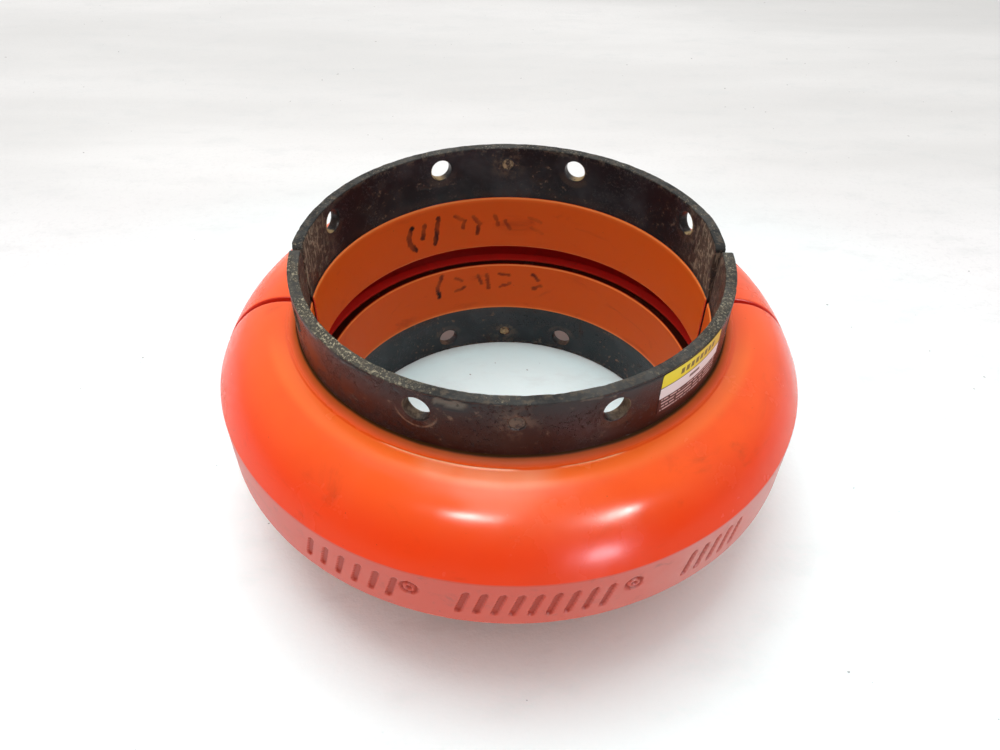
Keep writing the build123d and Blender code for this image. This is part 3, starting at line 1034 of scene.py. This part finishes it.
def shoe_paint():
    """Black paint on steel: worn at the rim, holes and ends, with rust and tan dirt."""
    s = Shader("worn_black_paint")
    rest = s.vector("rest")
    rim, under_rim, outer = s.number("rim"), s.number("under_rim"), s.number("outer")
    screw_gap, plug_gap, end_gap = s.number("screw_gap"), s.number("plug_gap"), s.number("end_gap")
    upper = s.step(s.part(rest, "Z"), -1 * MM, 1 * MM)
    back = s.step(s.part(rest, "Y"), -1 * MM, 1 * MM)
    cloud = s.noise(rest, 18 * MM, 7, 0.62, 0.3)
    # Painted reflection: the outer faces are tinted maroon over the paint's own near black, most on the
    # upper shoes, standing in for the orange elastomer reflected in them.
    black = s.mix(upper, (0.006, 0.007, 0.009), (0.0085, 0.0045, 0.0048))
    cloudy = s.mix(outer, (0.028, 0.03, 0.036), (0.022, 0.0095, 0.008))
    s.base = s.mix(s.step(cloud, 0.44, 0.7), s.mix(outer, (0.004, 0.0055, 0.009), black), cloudy)
    patch = s.noise(rest, 13 * MM, 9, 0.68, 0.8)
    fine = s.noise(rest, 2.0 * MM, 7, 0.7)
    dirt = s.step(patch, 0.56, 0.7)
    s.coat((0.045, 0.026, 0.018), dirt, 0.6)
    flecks = s.times(s.step(fine, 0.56, 0.66), s.step(patch, 0.49, 0.6))
    s.coat((0.19, 0.13, 0.088), flecks, 0.7)
    scratch = s.noise(s.stretch(rest, (1, 1, 0.22)), 1.2 * MM, 3, 0.5, 0.3)
    worn_end = s.times(s.step(end_gap, 58.0, 14.0), s.step(s.noise(rest, 16 * MM, 5, 0.6), 0.32, 0.5))
    worn_end = s.times(worn_end, s.blend(back, 0.5, 1.0), s.step(s.number("collar_gap"), -6.0, 2.0))
    worn_end = s.times(worn_end, s.blend(outer, 1.0, 0.35))
    s.coat((0.098, 0.066, 0.046), worn_end, 0.85)
    end_flecks = s.times(worn_end, s.most(s.step(fine, 0.5, 0.62), s.step(scratch, 0.54, 0.64)))
    s.coat((0.4, 0.31, 0.22), end_flecks, 0.85)
    rust = s.times(s.step(fine, 0.56, 0.66), s.step(s.noise(rest, 24 * MM, 4), 0.52, 0.6))
    rust = s.times(rust, s.math("SUBTRACT", 1.0, upper))
    s.coat((0.2, 0.105, 0.055), rust, 0.8)
    below = s.step(s.number("screw_low"), 0.05, 0.75)
    rub = s.noise(rest, 5 * MM, 6, 0.65)
    washer = s.times(s.span(screw_gap, 0.3, 1.2, 4.4, 6.0), below)
    s.coat((0.085, 0.052, 0.036), washer, s.step(rub, 0.36, 0.56), 0.45)
    line = s.times(s.span(screw_gap, 3.6, 4.2, 4.7, 5.2), below, s.step(rub, 0.34, 0.48))
    line = s.times(line, s.step(s.part(rest, "X"), 10 * MM, -10 * MM), outer)
    s.coat((0.21, 0.145, 0.095), line, 0.75)
    bore = s.step(screw_gap, 0.3, -0.1)
    wall = s.mix(s.step(fine, 0.4, 0.6), (0.075, 0.048, 0.03), (0.185, 0.13, 0.082))
    wall = s.mix(s.times(back, upper, s.step(fine, 0.34, 0.5), 0.85), wall, (0.52, 0.37, 0.17))
    s.coat(wall, bore, 0.9)
    plug_dirt = s.times(s.step(plug_gap, 11.0, 0.5), s.step(s.noise(rest, 4 * MM, 6, 0.7), 0.44, 0.58))
    s.coat((0.125, 0.082, 0.055), plug_dirt, 0.6)
    pale_chip = s.noise(s.stretch(rest, (1, 1, 1.8)), 5 * MM, 4, 0.55)
    loose = s.most(s.step(pale_chip, 0.57, 0.62), s.times(back, s.step(fine, 0.5, 0.6)))
    chip = s.times(under_rim, loose, s.blend(back, 1.0, 0.8))
    s.coat((0.11, 0.088, 0.066), chip, 0.75)
    # Painted shade: the fold under the rim is painted near black.
    s.coat((0.003, 0.002, 0.002), s.number("lap"), 0.9)
    s.coat((0.15, 0.132, 0.108), s.number("chip"), s.step(fine, 0.3, 0.48), 0.95)
    place = s.part(rest, "X")
    flaking = s.most(s.step(place, -30 * MM, -75 * MM), s.times(s.step(place, 80 * MM, 116 * MM), 0.55))
    flaking = s.times(flaking, s.math("SUBTRACT", 1.0, back), upper)
    rim_cloud = s.noise(rest, 9 * MM, 6, 0.65)
    rim_base = s.mix(s.step(rim_cloud, 0.35, 0.7), (0.014, 0.015, 0.0145), (0.055, 0.055, 0.051))
    rim_base = s.mix(s.times(s.step(fine, 0.48, 0.64), 0.65), rim_base, (0.11, 0.084, 0.058))
    grain = s.noise(s.stretch(rest, (1, 0.8, 1)), 0.8 * MM, 8, 0.78)
    where = s.noise(rest, 10 * MM, 4)
    rim_base = s.mix(s.times(flaking, s.step(where, 0.34, 0.6), 0.6), rim_base, (0.085, 0.076, 0.054))
    flake = s.times(s.step(grain, 0.51, 0.58), s.step(where, 0.38, 0.56), flaking)
    rare = s.times(s.step(grain, 0.55, 0.64), s.step(where, 0.46, 0.58))
    flaky = s.most(flake, s.times(rare, 0.6))
    rim_base = s.mix(s.times(flaky, 0.95), rim_base, (0.62, 0.55, 0.38))
    s.coat(rim_base, s.step(rim, 0.1, 0.5))
    # Reddish brown patches on the paint just above the collar.
    reddish_above_collar = s.times(s.step(s.number("collar_gap"), 5.0, 0.0), s.step(rub, 0.35, 0.6))
    s.coat((0.05, 0.02, 0.012), reddish_above_collar, 0.35)
    bare = s.most(s.step(rim, 0.1, 0.5), bore, s.number("chip"), s.times(dirt, 0.7), worn_end)
    roughness = s.blend(bare, s.blend(cloud, 0.22, 0.4), 0.66)
    pits = s.bump(s.noise(rest, 0.9 * MM, 6, 0.7), 0.1 * MM, 0.6)
    scale = s.bump(s.math("ADD", s.times(fine, bare), s.times(flaky, 1.2)), 0.4 * MM, 0.9, pits)
    wave = s.bump(s.noise(rest, 16 * MM, 2), 0.25 * MM, 0.7, scale)
    specular = s.blend(bare, 0.37, 0.22)
    return s.finish(Roughness=roughness, Normal=wave, IOR=1.5, Specular_IOR_Level=specular)


def plug_material():
    """Dull tan fill with dark pits."""
    s = Shader("tan_fill")
    rest = s.vector("rest")
    grain = s.noise(rest, 1.6 * MM, 6, 0.7)
    inner = s.step(s.part(rest, "Y"), -1 * MM, 1 * MM)
    pale = s.mix(inner, (0.13, 0.083, 0.05), (0.42, 0.3, 0.15))
    s.base = s.mix(s.step(grain, 0.38, 0.62), (0.024, 0.013, 0.008), pale)
    return s.finish(Roughness=0.8, Normal=s.bump(grain, 0.4 * MM, 0.9))


def label_material():
    """A blank label: plain bands of yellow, white and dark, with rows of short plain bars."""
    s = Shader("blank_label_print")
    share, rest = s.vector("share"), s.vector("rest")
    u, v = s.part(share, "X"), s.part(share, "Y")
    yellow, white, dark = (0.88, 0.76, 0.015), (0.84, 0.8, 0.82), (0.03, 0.01, 0.01)
    head, foot = s.step(v, 0.69, 0.698), s.step(v, 0.428, 0.42)
    s.base = s.mix(foot, white, dark)
    s.coat(yellow, head)
    s.coat((0.62, 0.4, 0.03), s.step(u, 0.15, 0.95), head, 0.75)
    rule = s.span(v, 0.672, 0.678, 0.694, 0.7)
    s.coat((0.04, 0.03, 0.01), rule, 0.9)
    row_place = s.math("FRACT", s.times(v, 12.0))
    rows = s.span(row_place, 0.24, 0.34, 0.64, 0.74)
    dash_noise = s.noise(s.stretch(share, (30, 6.0, 1)), 0.5, 0)
    dashes = s.times(rows, s.step(dash_noise, 0.37, 0.41), s.step(v, 0.4, 0.39), s.step(v, 0.08, 0.09))
    dashes = s.times(dashes, s.step(u, 0.03, 0.04), s.step(u, 0.97, 0.96))
    s.coat((0.66, 0.55, 0.55), dashes, 0.95)
    head_row = s.span(v, 0.775, 0.785, 0.905, 0.915)
    bars = s.times(head_row, s.step(s.math("FRACT", s.times(u, 13.0)), 0.3, 0.36))
    bars = s.times(bars, s.step(u, 0.25, 0.26), s.step(u, 0.88, 0.87))
    s.coat((0.045, 0.032, 0.008), bars, 0.85)
    block = s.span(u, 0.42, 0.43, 0.59, 0.6)
    block = s.times(block, s.step(v, 0.52, 0.53), s.step(v, 0.6, 0.59))
    s.coat((0.05, 0.02, 0.02), block, 0.85)
    scuff = s.step(s.noise(rest, 3 * MM, 7, 0.7), 0.6, 0.75)
    s.coat((0.14, 0.1, 0.09), scuff, 0.45)
    return s.finish(Roughness=0.38, Normal=s.bump(s.noise(rest, 4 * MM, 4), 0.05 * MM, 0.5))


def floor_material():
    """Pale matt sheet with a fine grain, a few dark specks and faint long streaks, with light and shade
    painted on it round the element.
    """
    s = Shader("pale_floor")
    place = s.add("TexCoord", "Object", {})
    streaks = s.noise(s.stretch(place, (0.22, 1.0, 1.0)), 120 * MM, 4, 0.55)
    grain = s.noise(place, 1.8 * MM, 3, 0.6)
    s.base = s.mix(s.step(streaks, 0.3, 0.7), (0.8, 0.8, 0.805), (0.9, 0.9, 0.905))
    s.coat((0.66, 0.66, 0.67), s.step(grain, 0.5, 0.72), 0.3)
    x, y = s.part(place, "X"), s.part(place, "Y")
    ring = s.math("ADD", s.times(x, x), s.times(y, y))
    inside = s.step(ring, 0.017, 0.012)
    # Painted light: a cool tint near the element that cancels the orange light bounced from the tyre.
    s.coat((0.83, 0.945, 0.955), s.step(ring, 0.26, 0.045), 0.9)
    # Painted light: a paler, cooler pool on the floor inside the ring.
    s.coat((0.84, 0.985, 0.99), inside)
    # Painted shade: the floor is darker behind the element, and darker again along the streaks there.
    behind = s.step(y, 0.2, 0.5)
    s.coat((0.7, 0.695, 0.68), behind, 0.6)
    s.coat((0.6, 0.6, 0.59), behind, s.step(streaks, 0.7, 0.34), 0.55)
    mottle = s.noise(s.stretch(place, (0.6, 1.3, 1.0)), 16 * MM, 6, 0.66)
    s.coat((0.6, 0.62, 0.62), s.step(mottle, 0.5, 0.7), 0.22)
    # Painted shadow on the floor under the back of the tyre.
    painted_shadow_under_tyre = s.times(s.span(ring, 0.0155, 0.0165, 0.026, 0.036), s.step(y, 0.02, 0.08))
    s.coat((0.3, 0.29, 0.27), painted_shadow_under_tyre, 0.85)
    # Painted light: the floor in front of the element glows faintly, lifting the shade there.
    painted_light_front = s.times(s.span(ring, 0.018, 0.036, 0.12, 0.4), s.step(y, 0.1, -0.02))
    speck = s.step(s.noise(place, 2.6 * MM, 1), 0.795, 0.82)
    s.coat((0.16, 0.15, 0.15), speck, 0.7)
    painted_glow = dict(Emission_Color=(0.8, 0.98, 1.0), Emission_Strength=s.times(painted_light_front, 0.13))
    return s.finish(Roughness=0.6, Normal=s.bump(grain, 0.5 * MM, 0.7), Specular_IOR_Level=0.0, **painted_glow)


# ---- Stage, light and camera ----
FLOOR_SIZE = 9.0
FLAT_END = 0.3  # the folds of the floor lie behind this
CAMERA_DISTANCE = 0.5167
CAMERA_ELEVATION = math.radians(42.1)
CAMERA_AZIMUTH = math.radians(-2.1)
CAMERA_YAW, CAMERA_PITCH, CAMERA_ROLL = (math.radians(a) for a in (-0.62, -1.02, 1.55))
CAMERA_LENS = 28.6


def make_floor():
    """A pale sheet, flat under the element and lying in long low folds behind it."""
    across = np.linspace(-FLOOR_SIZE / 2, FLOOR_SIZE / 2, 91)
    front = np.linspace(-FLOOR_SIZE / 2, FLAT_END, 12)
    back = FLAT_END + (FLOOR_SIZE / 2 - FLAT_END) * np.linspace(0, 1, 260)[1:] ** 1.8
    x, y = np.meshgrid(across, np.concatenate([front, back]))
    flat = np.stack([x.ravel() * 0.25, y.ravel(), 0 * x.ravel()], -1)
    folds = waves(flat, 0.13, 61) * 1.6 * MM + waves(flat, 0.34, 62) * 5 * MM
    rise = smoothstep(0.32, 0.75, y.ravel())
    z = CAD_BOX[0].z + folds * rise - rise * 4 * MM
    points = np.stack([x.ravel(), y.ravel(), z], -1)
    quads = cells(np.arange(x.size).reshape(x.shape)).reshape(-1, 4)
    floor = new_piece(new_mesh("floor", points, quads.tolist()))
    floor.data.materials.append(floor_material())


def make_camera():
    """The camera looks down at the element from the front, nearly at its centre."""
    camera = new_object("camera", bpy.data.cameras.new("camera"))
    place = Vector((0, -math.cos(CAMERA_ELEVATION), math.sin(CAMERA_ELEVATION))) * CAMERA_DISTANCE
    forward = -place.normalized()
    right = Vector((1, 0, 0))
    up = right.cross(forward)
    ahead = forward * math.cos(CAMERA_YAW) + right * math.sin(CAMERA_YAW)
    forward = (ahead * math.cos(CAMERA_PITCH) + up * math.sin(CAMERA_PITCH)).normalized()
    right = forward.cross(up).normalized()
    up = right.cross(forward)
    c, s = math.cos(CAMERA_ROLL), math.sin(CAMERA_ROLL)
    right, up = right * c + up * s, up * c - right * s
    turn = Matrix.Rotation(CAMERA_AZIMUTH, 4, "Z")
    axes = Matrix((right, up, -forward)).transposed().to_4x4()
    camera.matrix_world = turn @ Matrix.Translation(place) @ axes
    camera.data.lens = CAMERA_LENS
    camera.data.sensor_width = 36
    camera.data.clip_start = 0.01
    bpy.context.scene.camera = camera


def soft_light(name, place, size, power, colour=(1, 1, 1), glint=False, level=False):
    """A soft box at a place seen from the camera's side. It faces the element, or straight down if level.
    A glint is only there to be reflected. The others only light."""
    data = bpy.data.lights.new(name, "AREA")
    data.shape = "RECTANGLE"
    data.size, data.size_y = size
    data.energy = power
    data.color = colour
    light = new_object(name, data)
    light.location = Matrix.Rotation(CAMERA_AZIMUTH, 3, "Z") @ Vector(place)
    light.rotation_euler = (-light.location).to_track_quat("-Z", "Y").to_euler()
    if level:
        light.rotation_euler = (0, 0, CAMERA_AZIMUTH)
    light.visible_diffuse = not glint
    light.visible_glossy = glint


def ring_light():
    """A narrow cool light from straight above that reaches the floor through the open centre."""
    data = bpy.data.lights.new("ring_light", "SPOT")
    data.energy = 24
    data.color = (0.54, 0.95, 1.0)
    data.spot_size = math.radians(8.0)
    data.spot_blend = 0.25
    light = new_object("ring_light", data)
    light.location = (0, 0, 1.7)
    light.visible_glossy = False


def strength_curve(room, value, stops):
    """A smooth curve through (value, strength) stops, in order."""
    low, high = stops[0][0], stops[-1][0]
    top = max(strength for _, strength in stops)
    first, *middle, last = [((place - low) / (high - low), strength / top) for place, strength in stops]
    share = room.add("MapRange", "Result", {"Value": value, "From Min": low, "From Max": high})
    height = room.add("FloatCurve", 0, {"Value": share})
    mapping = height.node.mapping
    curve = mapping.curves[0]
    curve.points[0].location = first
    curve.points[1].location = last
    for point in middle:
        curve.points.new(*point)
    mapping.update()
    return room.times(height, top)


def make_light():
    """A soft room, brighter behind the element. Reflections see a dimmer room than the diffuse light."""
    world = bpy.data.worlds.new("soft_room")
    bpy.context.scene.world = world
    world.use_nodes = True
    room = Nodes(world.node_tree)
    front = room.part(room.add("NewGeometry", "Incoming", {}), "Y")
    diffuse = strength_curve(room, front, ((-0.95, 0.95), (-0.3, 0.84), (0.3, 0.66), (0.95, 0.56)))
    glossy = strength_curve(room, front, ((-0.95, 1.2), (-0.45, 0.55), (0.2, 0.22), (0.95, 0.06)))
    strength = room.blend(room.add("LightPath", "Is Glossy Ray", {}), diffuse, glossy)
    background = room.tree.nodes["Background"]
    room.put(background.inputs["Color"], (1.0, 0.985, 0.975))
    room.put(background.inputs["Strength"], strength)
    soft_light("ceiling", (-0.25, 0.25, 1.9), (1.3, 1.3), 25)
    ring_light()
    soft_light("panel_glint", (-0.05, 0.1, 1.8), (0.5, 2.6), 20, glint=True, level=True)
    soft_light("top_glint", (-0.25, -1.04, 1.24), (0.24, 0.075), 8.5, glint=True)
    soft_light("side_glint", (0.88, -0.98, 0.97), (0.27, 0.1), 11.0, glint=True)
    soft_light("low_glint", (0.83, -1.43, 0.19), (0.3, 0.13), 10.0, (1, 0.8, 0.95), glint=True)


def main():
    make_tyres(elastomer())
    make_shoes(shoe_paint())
    make_plugs(plug_material())
    make_label(label_material())
    make_floor()
    make_light()
    make_camera()
    bpy.context.scene.view_settings.view_transform = "Standard"


main()
